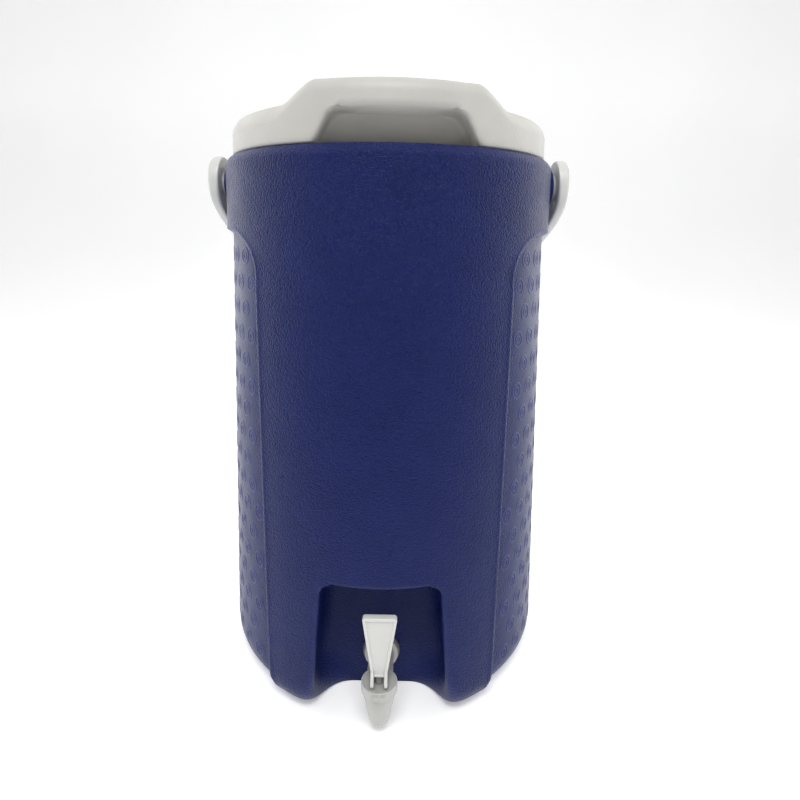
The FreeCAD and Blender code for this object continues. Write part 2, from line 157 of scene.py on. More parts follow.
class Nodes:
    def __init__(self, name):
        self.mat = bpy.data.materials.new(name)
        self.mat.use_nodes = True
        self.t = self.mat.node_tree
        self.t.nodes.clear()
        self.out = self.n("ShaderNodeOutputMaterial")
        self.bsdf = self.n("ShaderNodeBsdfPrincipled")
        self.t.links.new(self.bsdf.outputs[0], self.out.inputs["Surface"])

    def n(self, kind, **kw):
        x = self.t.nodes.new(kind)
        for k, v in kw.items():
            if k.startswith("i_"):
                x.inputs[k[2:].replace("_", " ")].default_value = v
            else:
                setattr(x, k, v)
        return x

    def link(self, a, b):
        self.t.links.new(a, b)

    def set(self, name, v):
        if isinstance(v, (int, float, tuple, list)):
            self.bsdf.inputs[name].default_value = v
        else:
            self.link(v, self.bsdf.inputs[name])

    def coord(self):
        return self.n("ShaderNodeTexCoord").outputs["Object"]

    def noise(self, vec, scale, detail=4.0, rough=0.5, out="Fac"):
        x = self.n("ShaderNodeTexNoise", noise_dimensions="3D")
        x.inputs["Scale"].default_value = scale
        x.inputs["Detail"].default_value = detail
        x.inputs["Roughness"].default_value = rough
        self.link(vec, x.inputs["Vector"])
        return x.outputs[out]

    def voro(self, vec, scale, feature="F1", out="Distance", smooth=None):
        x = self.n("ShaderNodeTexVoronoi", feature=feature)
        x.inputs["Scale"].default_value = scale
        if smooth is not None and "Smoothness" in x.inputs:
            x.inputs["Smoothness"].default_value = smooth
        self.link(vec, x.inputs["Vector"])
        return x.outputs[out]

    def ramp(self, fac, stops):
        x = self.n("ShaderNodeValToRGB")
        e = x.color_ramp.elements
        while len(e) < len(stops):
            e.new(0.5)
        for el, (p, c) in zip(e, stops):
            el.position = p
            el.color = c if len(c) == 4 else (*c, 1)
        self.link(fac, x.inputs["Fac"])
        return x.outputs["Color"]

    def mapr(self, v, a, b, c, d):
        x = self.n("ShaderNodeMapRange")
        for k, val in zip(("From Min", "From Max", "To Min", "To Max"),
                          (a, b, c, d)):
            x.inputs[k].default_value = val
        self.link(v, x.inputs["Value"])
        return x.outputs["Result"]

    def math(self, op, a, b=None, clamp=False):
        x = self.n("ShaderNodeMath", operation=op, use_clamp=clamp)
        for i, v in enumerate((a, b)):
            if v is None:
                continue
            if isinstance(v, (int, float)):
                x.inputs[i].default_value = v
            else:
                self.link(v, x.inputs[i])
        return x.outputs[0]

    def mix(self, fac, a, b, blend="MIX"):
        x = self.n("ShaderNodeMix", data_type="RGBA", blend_type=blend)
        for i, v in ((0, fac), (6, a), (7, b)):
            if isinstance(v, (int, float)):
                x.inputs[i].default_value = v
            elif isinstance(v, (tuple, list)):
                x.inputs[i].default_value = v if len(v) == 4 else (*v, 1)
            else:
                self.link(v, x.inputs[i])
        return x.outputs[2]

    def bump(self, height, strength, dist, prev=None):
        x = self.n("ShaderNodeBump")
        x.inputs["Strength"].default_value = strength
        x.inputs["Distance"].default_value = dist
        self.link(height, x.inputs["Height"])
        if prev is not None:
            self.link(prev, x.inputs["Normal"])
        return x.outputs["Normal"]

    def edge(self, lo=0.52, hi=0.60):
        g = self.n("ShaderNodeNewGeometry")
        return self.mapr(g.outputs["Pointiness"], lo, hi, 0.0, 1.0)


def mat_blue():
    m = Nodes("mat_body_blue")
    co = m.coord()
    # pebbled mould grain: cells of about 1.6 mm with softer 4 mm waves
    warp = m.noise(co, 240.0, 3.0, 0.6, "Color")
    wv = m.n("ShaderNodeVectorMath", operation="MULTIPLY_ADD")
    m.link(warp, wv.inputs[0])
    wv.inputs[1].default_value = (0.0016, 0.0016, 0.0016)
    m.link(co, wv.inputs[2])
    p = wv.outputs[0]
    cells = m.voro(p, 860.0, "SMOOTH_F1", "Distance", 0.35)
    fine = m.noise(p, 2100.0, 3.0, 0.6)
    broad = m.noise(co, 150.0, 3.0, 0.55)
    # grain is stronger high on the body
    sep = m.n("ShaderNodeSeparateXYZ")
    m.link(co, sep.inputs[0])
    up = m.mapr(sep.outputs["Z"], 0.06, 0.34, 0.75, 1.15)
    h = m.math("ADD", m.math("MULTIPLY", cells, -0.62),
               m.math("MULTIPLY", fine, 0.22))
    h = m.math("ADD", h, m.math("MULTIPLY", broad, 0.22))
    h = m.math("MULTIPLY", h, up)
    # the recessed side panels are smoother than the rest
    x2 = m.math("MULTIPLY", sep.outputs["X"], sep.outputs["X"])
    flat = m.mapr(x2, 0.0066, 0.0080, 1.0, 0.22)
    high = m.mapr(sep.outputs["Z"], 0.318, 0.332, 0.0, 1.0)
    h = m.math("MULTIPLY", h, m.math("MAXIMUM", flat, high))
    nrm = m.bump(h, 1.0, 0.0009)
    mott = m.noise(co, 34.0, 5.0, 0.6)
    col = m.ramp(mott, [(0.30, (0.0040, 0.0110, 0.086)),
                        (0.70, (0.0060, 0.0142, 0.104))])
    # painted shade: the pits of the grain a little darker; painted highlight: the
    # panel edges and other convex edges a little lighter
    pit_shade = m.mapr(cells, 0.15, 0.75, 1.0, 0.82)
    gm = m.n("ShaderNodeCombineColor")
    for k in range(3):
        m.link(pit_shade, gm.inputs[k])
    col = m.mix(1.0, col, gm.outputs[0], "MULTIPLY")
    # painted highlight: lighter blue along convex edges, for the bright line the
    # panel edges catch
    col = m.mix(m.math("MULTIPLY", m.edge(0.51, 0.58), 0.5), col,
                (0.085, 0.100, 0.30))
    # painted glints: rare tiny light-blue specks where the pebble grain catches the
    # light
    glint_cell = m.voro(co, 1150.0, "F1", "Color")
    sc = m.n("ShaderNodeSeparateColor")
    m.link(glint_cell, sc.inputs[0])
    glint_mask = m.math("GREATER_THAN", sc.outputs[0], 0.985)
    col = m.mix(m.math("MULTIPLY", glint_mask, 0.10), col, (0.06, 0.08, 0.26))
    m.set("Base Color", col)
    rough = m.mapr(m.noise(co, 60.0, 4.0, 0.6), 0.3, 0.7, 0.24, 0.33)
    rough = m.math("ADD", rough, m.math("MULTIPLY", fine, 0.06))
    m.set("Roughness", rough)
    m.set("Normal", nrm)
    m.set("IOR", 1.5)
    m.set("Specular IOR Level", 0.15)
    return m.mat


def mat_plastic(name, c0, c1, rough=(0.35, 0.5), grain=900.0, gstr=0.25,
                sss=0.0, spec=0.5, broad=0.15, dirt=None, edge=0.2,
                edge_highlight_col=None):
    m = Nodes(name)
    co = m.coord()
    mott = m.noise(co, 30.0, 5.0, 0.6)
    col = m.ramp(mott, [(0.3, c0), (0.7, c1)])
    if dirt is not None:
        d = m.noise(co, 210.0, 6.0, 0.7)
        d = m.mapr(d, 0.62, 0.78, 0.0, 0.35)
        col = m.mix(d, col, dirt)
    # painted highlight: convex edges lighter than the rest, for the light they
    # catch
    if edge:
        highlight_col = edge_highlight_col or tuple(min(1.0, x * 1.12) for x in c1)
        col = m.mix(m.math("MULTIPLY", m.edge(0.51, 0.60), edge), col, highlight_col)
    m.set("Base Color", col)
    g = m.voro(co, grain, "SMOOTH_F1", "Distance", 0.5)
    f = m.noise(co, grain * 1.7, 3.0, 0.6)
    b = m.noise(co, 90.0, 3.0, 0.5)
    h = m.math("ADD", m.math("MULTIPLY", g, -0.5), m.math("MULTIPLY", f, 0.4))
    h = m.math("ADD", h, m.math("MULTIPLY", b, broad))
    m.set("Normal", m.bump(h, gstr, 0.0005))
    m.set("Roughness", m.mapr(m.noise(co, 75.0, 4.0, 0.6), 0.3, 0.7, *rough))
    m.set("Specular IOR Level", spec)
    if sss:
        m.set("Subsurface Weight", sss)
        m.set("Subsurface Radius", (0.004, 0.0035, 0.003))
        m.set("Subsurface Scale", 1.0)
    return m.mat


M = {}
M["blue"] = mat_blue()
M["lid"] = mat_plastic("mat_lid", (0.474, 0.467, 0.437), (0.516, 0.508, 0.476),
                       (0.42, 0.55), 620.0, 0.34, 0.0, 0.42, 0.25,
                       (0.50, 0.485, 0.44))
M["handle"] = mat_plastic("mat_handle", (0.60, 0.60, 0.585),
                          (0.65, 0.65, 0.635), (0.34, 0.46), 900.0, 0.16,
                          0.12, 0.5)
M["tap"] = mat_plastic("mat_tap", (0.45, 0.45, 0.43), (0.50, 0.50, 0.478),
                       (0.26, 0.38), 1300.0, 0.10, 0.15, 0.5)
M["lever"] = mat_plastic("mat_lever", (0.62, 0.62, 0.598), (0.67, 0.67, 0.648),
                         (0.26, 0.36), 1300.0, 0.08, 0.12, 0.5)
M["stem"] = mat_plastic("mat_stem", (0.30, 0.30, 0.29), (0.36, 0.36, 0.35),
                        (0.35, 0.5), 1200.0, 0.12)
M["seal"] = mat_plastic("mat_seal", (0.13, 0.13, 0.125), (0.18, 0.18, 0.175),
                        (0.55, 0.7), 1000.0, 0.2, 0.0, 0.35)
M["gasket"] = mat_plastic("mat_gasket", (0.66, 0.66, 0.63), (0.72, 0.72, 0.69),
                          (0.5, 0.65), 1000.0, 0.12, 0.2, 0.4)
M["liner"] = mat_plastic("mat_liner", (0.68, 0.69, 0.68), (0.74, 0.75, 0.74),
                         (0.25, 0.38), 1000.0, 0.08, 0.1, 0.5)
M["foam"] = mat_plastic("mat_foam", (0.66, 0.55, 0.32), (0.74, 0.64, 0.40),
                        (0.8, 0.95), 500.0, 0.9, 0.0, 0.2, 0.5)
M["steel"] = mat_plastic("mat_steel", (0.42, 0.42, 0.41), (0.52, 0.52, 0.51),
                         (0.22, 0.35), 1400.0, 0.12)
M["steel"].node_tree.nodes["Principled BSDF"].inputs["Metallic"].default_value = 1.0


def paint(ob, key):
    ob.data.materials.clear()
    ob.data.materials.append(M[key])


# --------------------------------------------------- sections with notches
N_EDGE, N_WALL, N_COR, N_BACK = 7, 9, 9, 17
N_NOTCH = 2 * (N_EDGE + N_WALL + N_COR) + N_BACK


def phi_at(R, x):
    p = math.asin(min(0.95, x / R(0.3)))
    for _ in range(14):
        p = math.asin(min(0.95, x / R(p)))
    return p


def notch(R, xo, xi, yb, re, rc, s):
    """Notch outline from its right edge (+x) to its left, and the angle of
    its right edge. xo and xi are the half widths at the mouth and the back,
    yb the back wall's distance from the axis."""
    pc = phi_at(R, xo)
    c1 = np.array((R(pc) * math.sin(pc), R(pc) * math.cos(pc)))
    c2 = np.array((xi, yb))
    w = c2 - c1
    ln = np.linalg.norm(w)
    w = w / ln
    t = np.array((math.cos(pc), -math.sin(pc)))
    a1 = math.acos(max(-1, min(1, float(t @ w))))
    a2 = math.acos(max(-1, min(1, float((-w) @ np.array((-1.0, 0.0))))))
    d1, d2 = re / math.tan(a1 / 2), rc / math.tan(a2 / 2)
    k = 0.94 * ln / (d1 + d2)
    if k < 1:
        d1, d2 = d1 * k, d2 * k
    d2 = min(d2, xi * 0.95)
    pe = phi_at(R, xo + d1 * math.cos(pc))
    p0 = np.array((R(pe) * math.sin(pe), R(pe) * math.cos(pe)))
    b1 = c1 + w * d1
    b2 = c2 - w * d2
    e2 = c2 + np.array((-1.0, 0.0)) * d2
    half = []
    for i in range(N_EDGE):
        u = i / N_EDGE
        half.append(p0 * (1 - u) ** 2 + c1 * 2 * u * (1 - u) + b1 * u * u)
    for i in range(N_WALL):
        half.append(b1 + (b2 - b1) * i / N_WALL)
    for i in range(N_COR):
        u = i / N_COR
        half.append(b2 * (1 - u) ** 2 + c2 * 2 * u * (1 - u) + e2 * u * u)
    back = [(e2[0] * (1 - 2 * i / (N_BACK - 1)), yb) for i in range(N_BACK)]
    left = [(-x, y) for x, y in half[::-1]]
    pts = [(float(x), float(s * y)) for x, y in half + back + left]
    return pts, pe


def arc_phis(pe, breaks, counts):
    """Angles strictly between pe and pi, denser inside the breaks."""
    out = []
    edges = [pe] + list(breaks) + [math.pi]
    for a, b, n in zip(edges[:-1], edges[1:], counts):
        for i in range(n):
            out.append(a + (b - a) * (i + 1) / n)
    return out            # last one is pi itself


# ------------------------------------------------------------- outer shell
Z_SEAM, Z_RIM = 381.0, 373.0


def interp(x, xs, ys):
    return float(np.interp(x, xs, ys))


def r_proud(z):
    return interp(z, [0, 0.7, 2.0, 4.2, 7.2, 11, 16, 22, 320, 400],
                  [111.5, 114.8, 117.9, 121.0, 123.8, 126.3, 127.6, 128.0,
                   122.0, 122.0])


def r_side(z):
    return interp(z, [0, 1.0, 2.6, 4.6, 7.2, 10.4, 14, 18, 318, 400],
                  [100, 105.5, 110.8, 115.0, 118.6, 121.4, 123.2, 123.9,
                   118.0, 118.0])


def win_half(z):
    if z < 12.0:
        return r_proud(max(z, 0.0)) * 0.797
    return interp(z, [12, 292, 400], [r_proud(12.0) * 0.797, 89.6, 89.6])


def win_sdf(y, z):
    d1 = (win_half(z) - abs(y)) * 0.999
    d2 = 329.5 - z
    r = 30.0
    if d1 < r and d2 < r:
        return r - math.hypot(r - d1, r - d2)
    return min(d1, d2)


def r_body(phi, z):
    rp = r_proud(z)
    rs = r_side(z)
    y = rp * math.cos(phi)
    d = win_sdf(y, z)
    t = sm((d + 0.2) / 2.6)
    # narrow crown along the panel edge, which catches the light
    crown = 0.42 * math.exp(-((d + 1.1) / 1.15) ** 2) if z < 345 else 0.0
    crown *= sm((rp - rs) / 3.0) * sm(z / 14.0)
    return rp - (rp - rs) * t + crown


def edge_phi(z):
    return math.acos(min(0.90, win_half(z) / r_proud(max(z, 0.0))))


REC_TOP = 102.0


def recess_par(z, off):
    """(xo, xi, yb, re, rc) of the tap recess at height z."""
    top = REC_TOP + off
    hw = 47.0 - 8.0 * z / 102.0 + off
    rr = 9.0 + off
    if z > top - rr:
        hw -= rr - math.sqrt(max(0.0, rr * rr - (z - (top - rr)) ** 2))
    low = sm(1 - z / 30.0)
    xo = hw + 2.0 * low
    xi = hw - 18.0 * low
    yb = 85.5 - off
    re = 4.0 + 9.0 * low
    rc = 17.0 + 12.0 * low
    return xo, xi, yb, re, rc


def shell_rings(off):
    rings = []
    zlist = [0, 0.7, 2.0, 4.2, 7.2, 10, 13, 16, 20, 25, 31] if off == 0 else \
        [3.0, 3.6, 4.6, 6.2, 8.0, 10.5, 13, 16, 20, 25, 31]
    zlist = list(zlist)
    z = 38.0
    while z < REC_TOP + off - 10:
        zlist.append(z)
        z += 6.0
    rr = 9.0 + off
    for a in range(0, 91, 10):
        zlist.append(REC_TOP + off - rr + rr * math.sin(math.radians(a)))
    cnt = [12, 14, 90, 14, 26]
    dl = 0.034

    def R_at(z):
        if off == 0:
            return lambda p: r_body(p, z)
        return lambda p: r_body(p, max(z, 0.0) - 0.0) - off \
            if z > 16 else r_body(p, z - 2.0) - off * 1.05

    def full(z, par, flat=None, inset=0.0):
        R = R_at(z)
        if par is not None:
            pts, pe = notch(R, *par, -1)
        else:
            pe = flat
            pts = []
            for i in range(N_NOTCH):
                p = pe * (1 - 2 * i / (N_NOTCH - 1))
                w = sm((1 - abs(p) / pe) * 7.0)
                r = R(p) - inset * w
                pts.append((r * math.sin(p), -r * math.cos(p)))
        ph = arc_phis(pe, [edge_phi(z) - dl, edge_phi(z) + dl,
                           math.pi - edge_phi(z) - dl,
                           math.pi - edge_phi(z) + dl], cnt)
        left = [(-R(p) * math.sin(p), -R(p) * math.cos(p)) for p in ph]
        right = [(R(p) * math.sin(p), -R(p) * math.cos(p))
                 for p in ph[:-1][::-1]]
        return [(x, y, z) for x, y in pts + left + right], pe

    pe = None
    for z in zlist:
        ring, pe = full(z, recess_par(z, off))
        rings.append(ring)
    zt = REC_TOP + off
    re = 4.0
    if off == 0:
        for a in (0, 15, 30, 45, 60, 75, 90):
            zz = zt + re * math.sin(math.radians(a))
            sn = math.sin(math.radians(a))
            ins = re * (1 - math.sqrt(max(0.0, 1 - (1 - sn) ** 2)))
            ring, _ = full(zz + 0.001, None, pe, ins)
            rings.append(ring)
    else:
        ring, _ = full(zt + 0.001, None, pe)
        rings.append(ring)
    z = 112.0
    while z < 280:
        ring, _ = full(z, None, pe)
        rings.append(ring)
        z += 6.0
    z = 282.0
    while z < 335:
        ring, _ = full(z, None, pe)
        rings.append(ring)
        z += 0.9
    for z in (338, 344, 352, 360, 367):
        ring, _ = full(z, None, pe)
        rings.append(ring)
    last = rings[-1]

    def at(r, z):
        out = []
        for x, y, _ in last:
            q = math.hypot(x, y)
            out.append((x / q * r, y / q * r, z))
        return out
    if off == 0:
        for a in range(0, 91, 10):
            t = math.radians(a)
            rings.append(at(114 + 8 * math.cos(t), 373 + 8 * math.sin(t)))
        rings.append(at(112.2, 381.0))
        rings.append(at(111.2, 380.6))
        rings.append(at(111.0, 379.8))
        rings.append(at(111.0, 378.5))
    else:
        rings.append(at(119.0, 371.5))
        rings.append(at(116.8, 376.2))
        rings.append(at(112.0, 378.3))
    return rings


def cap_faces(verts, ring, flip=False):
    """Triangles that fill a flat, possibly concave outline."""
    pts = [Vector((verts[i][0], verts[i][1], 0.0)) for i in ring]
    tris = mathutils.geometry.tessellate_polygon([pts])
    out = []
    for a, b, c in tris:
        pa, pb, pc = pts[a], pts[b], pts[c]
        if abs((pb - pa).cross(pc - pa).z) < 1e-7:
            continue
        out.append((ring[a], ring[b], ring[c]))
    return out


def build_shell():
    outer = shell_rings(0.0)
    inner = shell_rings(3.0)
    verts, idx = [], []
    for ring in outer + inner[::-1]:
        idx.append(list(range(len(verts), len(verts) + len(ring))))
        verts += ring
    faces = grid_faces(idx)
    faces += cap_faces(verts, idx[0])
    faces += cap_faces(verts, idx[-1])
    ob = mesh_obj("cooler_shell", verts, faces)
    bm = bmesh.new()
    bm.from_mesh(ob.data)
    bmesh.ops.recalc_face_normals(bm, faces=bm.faces)
    bm.to_mesh(ob.data)
    bm.free()
    return ob


def boolean(ob, cutters):
    for c in cutters:
        md = ob.modifiers.new("cut", "BOOLEAN")
        md.operation = "DIFFERENCE"
        md.solver = "EXACT"
        md.object = c
    apply_mods(ob)
    for c in cutters:
        bpy.data.objects.remove(c)


shell = build_shell()
boolean(shell, [lathe("c1", [(8.0, -3), (8.0, 8)], "Z", (0, 60, 0), 48),
                lathe("c2", [(9.0, -95), (9.0, -78)], "Y", (0, 0, 27), 48)])
for p in shell.data.polygons:
    p.use_smooth = True


def boss(s):
    prof = [(0.0, 124.6), (4.9, 124.6), (5.4, 125.0), (12.6, 125.3),
            (13.6, 124.9), (14.0, 124.2), (14.1, 123.0), (14.5, 121.6),
            (15.4, 120.0), (16.0, 117.5), (0.0, 117.5)]
    return lathe("boss", [(r, s * h) for r, h in prof], "X", (0, 0, 364), 56,
                 cap=False)




def side_marks():
    """Small raised rings in staggered rows on both recessed sides."""
    verts, faces = [], []
    nu, nv = 28, 8
    row = 0
    z = 26.0
    while z < 318.0:
        rs = r_side(z)
        step = 18.8 / rs
        k = -6
        while k <= 6:
            ph0 = (k + (0.5 if row % 2 else 0.0)) * step
            for side in (-1, 1):
                phi = side * (math.pi / 2 + ph0)
                y = -rs * math.cos(phi)
                if win_sdf(y, z) < 10.5:
                    continue
                n = Vector((math.sin(phi), -math.cos(phi), 0.0))
                t = Vector((math.cos(phi), math.sin(phi), 0.0))
                tilt = 0.0195
                upv = (Vector((0, 0, 1)) - n * tilt).normalized()
                c = n * (rs - 0.05) + Vector((0, 0, z))
                b = len(verts)
                for ring_r, tube, high in ((5.3, 0.80, 0.26),
                                           (2.3, 0.62, 0.22)):
                    b = len(verts)
                    for i in range(nu):
                        a = 2 * math.pi * i / nu
                        for j in range(nv):
                            u = 2 * math.pi * j / nv
                            q = ring_r + tube * math.cos(u)
                            dx, dz = q * math.cos(a), q * math.sin(a)
                            ph = phi + dx / rs
                            zz = z + dz
                            rr = r_side(zz) - 0.04 + high * math.sin(u)
                            verts.append((rr * math.sin(ph),
                                          -rr * math.cos(ph), zz))
                    for i in range(nu):
                        for j in range(nv):
                            i2, j2 = (i + 1) % nu, (j + 1) % nv
                            faces.append((b + i * nv + j, b + i2 * nv + j,
                                          b + i2 * nv + j2, b + i * nv + j2))
            k += 1
        z += 17.9
        row += 1
    ob = mesh_obj("marks", verts, faces)
    fix_normals(ob)
    return ob


shell = join([shell, boss(-1), boss(1), side_marks()], "cooler_shell")
paint(shell, "blue")
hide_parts("outer_shell")
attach(shell, "cooler")
mod = shell.modifiers.new("wn", "WEIGHTED_NORMAL")
mod.keep_sharp = False
shell.modifiers.remove(mod)

# --------------------------------------------------------------------- lid
LR = 116.3
LT, LS = 417.8, 406.0
rot4 = math.radians(4.0)


def lid_h(x):
    a = abs(x)
    return LS + (LT - LS) * (1 - sm((a - 47.5) / 24.0))


def zmap(x, z):
    """Lowers the rings of the straight wall towards the low shoulders."""
    w = 1 - sm((abs(x) - 52.0) / 18.0)
    return z if z <= 382.2 else 382.2 + (z - 382.2) * (w + (1 - w) * 0.545)


def lid_round(x):
    a = abs(x)
    return 9.0 - 2.0 * sm((a - 44.0) / 9.0) + 4.0 * sm((a - 62.0) / 16.0)


def pocket_par(z):
    zt, rr = 401.0, 5.5
    hw = 49.0 - 0.50 * (z - 381.0)
    if z > zt - rr:
        hw -= rr - math.sqrt(max(0.0, rr * rr - (z - (zt - rr)) ** 2))
    return hw, hw, 86.5, 3.6, 5.0


def build_lid():
    R0 = lambda p: LR
    rings = []
    n_half = 96

    def full(z, r, par, pe=None, inset=0.0):
        R = (lambda p: r)
        if par is not None:
            f, pe = notch(R, *par, -1)
            b, _ = notch(R, *par, 1)
        else:
            f, b = [], []
            for i in range(N_NOTCH):
                p = pe * (1 - 2 * i / (N_NOTCH - 1))
                w = sm((1 - abs(p) / pe) * 7.0)
                q = r - inset * w
                f.append((q * math.sin(p), -q * math.cos(p)))
                b.append((q * math.sin(p), q * math.cos(p)))
        left, right = [], []
        for i in range(n_half):
            p = pe + (math.pi - 2 * pe) * (i + 1) / (n_half + 1)
            left.append((-r * math.sin(p), -r * math.cos(p)))
            right.append((r * math.sin(p), -r * math.cos(p)))
        pts = f + left + b[::-1] + right[::-1]
        return [(x, y, zmap(x, z)) for x, y in pts], pe

    for r, z in ((114.9, 381.0), (115.9, 381.4), (LR, 382.2)):
        ring, pe = full(z, r, pocket_par(z))
        rings.append(ring)
    for z in (385, 388, 391):
        ring, pe = full(z, LR, pocket_par(z))
        rings.append(ring)
    for a in range(0, 91, 10):
        z = 395.5 + 5.5 * math.sin(math.radians(a))
        ring, pe = full(z, LR, pocket_par(z))
        rings.append(ring)
    re = 4.0
    for a in (0, 12, 25, 40, 55, 72, 90):
        sn = math.sin(math.radians(a))
        ins = re * (1 - math.sqrt(max(0.0, 1 - (1 - sn) ** 2)))
        ring, _ = full(401.001 + re * sn, LR, None, pe, ins)
        rings.append(ring)
    base = rings[-1]
    dirs = [(x / math.hypot(x, y), y / math.hypot(x, y)) for x, y, _ in base]

    def shape(r, t):
        """Point at radius r of the top; t (the angle of the rounding) is not used.
        """
        out = []
        for ux, uy in dirs:
            x, y = ux * r, uy * r
            out.append((x, y, lid_h(x)))
        return out
    # straight wall to the start of the rounding, then the rounding
    z0s = [q[2] for q in base]
    for u in (0.5, 1.0):
        ring = []
        for (ux, uy), z0 in zip(dirs, z0s):
            x = ux * LR
            zz = lid_h(x) - lid_round(x)
            ring.append((ux * LR, uy * LR, z0 + (max(zz, z0 + 0.2 * u) - z0) * u))
        rings.append(ring)
    for a in range(9, 91, 9):
        t = math.radians(a)
        ring = []
        for (ux, uy), z0 in zip(dirs, z0s):
            rd = lid_round(ux * LR)
            h0 = lid_h(ux * LR) - rd
            zb = max(h0, z0 + 0.2)
            r = LR - rd + rd * math.cos(t)
            hz = lid_h(ux * r)
            ring.append((ux * r, uy * r, zb + (hz - zb) * math.sin(t)))
        rings.append(ring)
    for r in (104, 102, 99, 95, 90, 84, 77, 69, 60, 50, 40, 30, 20, 10, 3):
        ring = []
        for ux, uy in dirs:
            x, y = ux * r, uy * r
            ring.append((x, y, lid_h(x)))
        rings.append(ring)
    verts, idx = [], []
    for ring in rings:
        idx.append(list(range(len(verts), len(verts) + len(ring))))
        verts += ring
    faces = grid_faces(idx)
    faces.append(tuple(idx[-1]))
    faces += cap_faces(verts, idx[0])
    c, s = math.cos(rot4), math.sin(rot4)
    verts = [(x * c - y * s, x * s + y * c, z) for x, y, z in verts]
    ob = mesh_obj("lid_cover", verts, faces)
    fix_normals(ob)
    return ob


lid = build_lid()
paint(lid, "lid")
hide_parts("lid_shell")
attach(lid, "lid")

# ------------------------------------------------------------ bail handle
PIV = 364.0
HANG = math.radians(51.5)


def build_bail():
    am, bm_ = 131.25, 178.75            # middle line of the strap
    th = 7.5
    secs = []
    # ear above the pivot
    for i in range(13):
        a = math.pi / 2 * (1 - i / 12.0)
        h = 20.8 * math.sin(a)
        w = 20.8 * math.cos(a)
        secs.append(((-am, h), (-1.0, 0.0), w))
    n = 120
    for i in range(1, n):
        t = math.pi * i / n
        p = (-am * math.cos(t), -bm_ * math.sin(t))
        nx, nz = -math.cos(t) / am, -math.sin(t) / bm_
        q = math.hypot(nx, nz)
        depth = min(-p[1], 1e9)
        w = 20.8 - 5.8 * sm(depth / 62.0) if abs(p[0]) > 60 else 15.0
        mid = sm((math.sin(t) - 0.72) / 0.2)
        w = w - 2.2 * mid
        secs.append((p, (nx / q, nz / q), w))
    for i in range(13):
        a = math.pi / 2 * (i / 12.0)
        secs.append(((am, 20.8 * math.sin(a)), (1.0, 0.0),
                     20.8 * math.cos(a)))
    # cross section: rounded rectangle, th thick, 2w wide
    verts, idx = [], []
    for (px, pz), (nx, nz), w in secs:
        w = max(w, 0.05)
        r = min(2.2, w * 0.9)
        ring = []
        for cx, cy, a0 in ((1, 1, 0), (-1, 1, 90), (-1, -1, 180),
                           (1, -1, 270)):
            for k in range(6):
                a = math.radians(a0 + 18 * k)
                u = cx * (th / 2 - min(r, th / 2 - 0.2)) \
                    + min(r, th / 2 - 0.2) * math.cos(a)
                v = cy * max(w - r, 0.0) + r * math.sin(a) if w > r else \
                    w * math.sin(a)
                ring.append((px + nx * u, v, pz + nz * u))
        idx.append(list(range(len(verts), len(verts) + len(ring))))
        verts += ring
    faces = grid_faces(idx)
    faces.append(tuple(idx[0]))
    faces.append(tuple(idx[-1]))
    c, s = math.cos(HANG), math.sin(HANG)
    verts = [(x, y * c - z * s, y * s + z * c + PIV) for x, y, z in verts]
    ob = mesh_obj("bail_strap", verts, faces)
    fix_normals(ob)
    return ob


bail = build_bail()
boolean(bail, [lathe("h1", [(9.6, s * 131.4), (9.6, s * 140.0)], "X",
                     (0, 0, PIV), 48) for s in (-1, 1)]
        + [lathe("h2", [(5.05, s * 122.0), (5.05, s * 134.0)], "X",
                 (0, 0, PIV), 40) for s in (-1, 1)])
for p in bail.data.polygons:
    p.use_smooth = True
hubs = []
for s in (-1, 1):
    prof = [(5.1, 128.0), (5.1, 125.55), (8.2, 125.5), (8.8, 125.9),
            (9.0, 126.8), (9.6, 127.3), (10.4, 128.0)]
    hubs.append(lathe("hub", [(r, s * h) for r, h in prof], "X",
                      (0, 0, PIV), 48, cap=False))
bail = join([bail] + hubs, "bail_strap")
paint(bail, "handle")
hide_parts("bail_handle")
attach(bail, "handle")
for s, nm in ((-1, "left"), (1, "right")):
    prof = [(0.0, 134.0), (3.4, 134.0), (3.9, 134.5), (7.6, 134.7),
            (8.6, 134.3), (9.0, 133.4), (9.0, 131.5), (5.0, 131.5),
            (5.0, 112.0), (0.0, 112.0)]
    st = lathe("stud_" + nm, [(r, s * h) for r, h in prof], "X",
               (0, 0, PIV), 48, cap=False)
    paint(st, "handle")
    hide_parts("handle_stud_" + nm)
    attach(st, "cooler")

# --------------------------------------------------------------------- tap
TY = -125.7
prof = [(3.9, 14.0), (3.9, 7.8), (4.3, 7.1), (5.0, 6.85), (5.9, 7.15),
        (6.45, 8.0), (6.9, 9.5), (8.1, 14.7), (10.35, 26.5), (10.7, 29.0),
        (10.8, 30.8),
        (11.0, 31.4), (11.0, 34.5), (6.4, 34.5), (6.4, 14.0)]
barrel = lathe("tap_barrel", prof + [prof[0]], "Z", (0, TY, 0), 72, cap=False)
prof = [(9.0, -117.5), (9.0, -93.0), (9.3, -91.4), (10.2, -90.6),
        (11.5, -90.5), (12.1, -90.2), (12.3, -89.4), (12.3, -87.6),
        (12.0, -87.0), (9.0, -87.0), (9.0, -56.6), (8.4, -56.0),
        (5.5, -56.0), (5.5, -117.5), (9.0, -117.5)]
shank = lathe("tap_shank", prof, "Y", (0, 0, 27), 64, cap=False)
for v in shank.data.vertices:      # neck tucks in below the cap
    d = math.hypot(v.co.x, v.co.y - TY * MM) / MM
    if v.co.z > 0.0308 and d < 12.6:
        v.co.z = 0.0308
tap = join([barrel, shank], "tap_spout")
paint(tap, "tap")
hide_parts("tap_body")
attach(tap, "cooler")

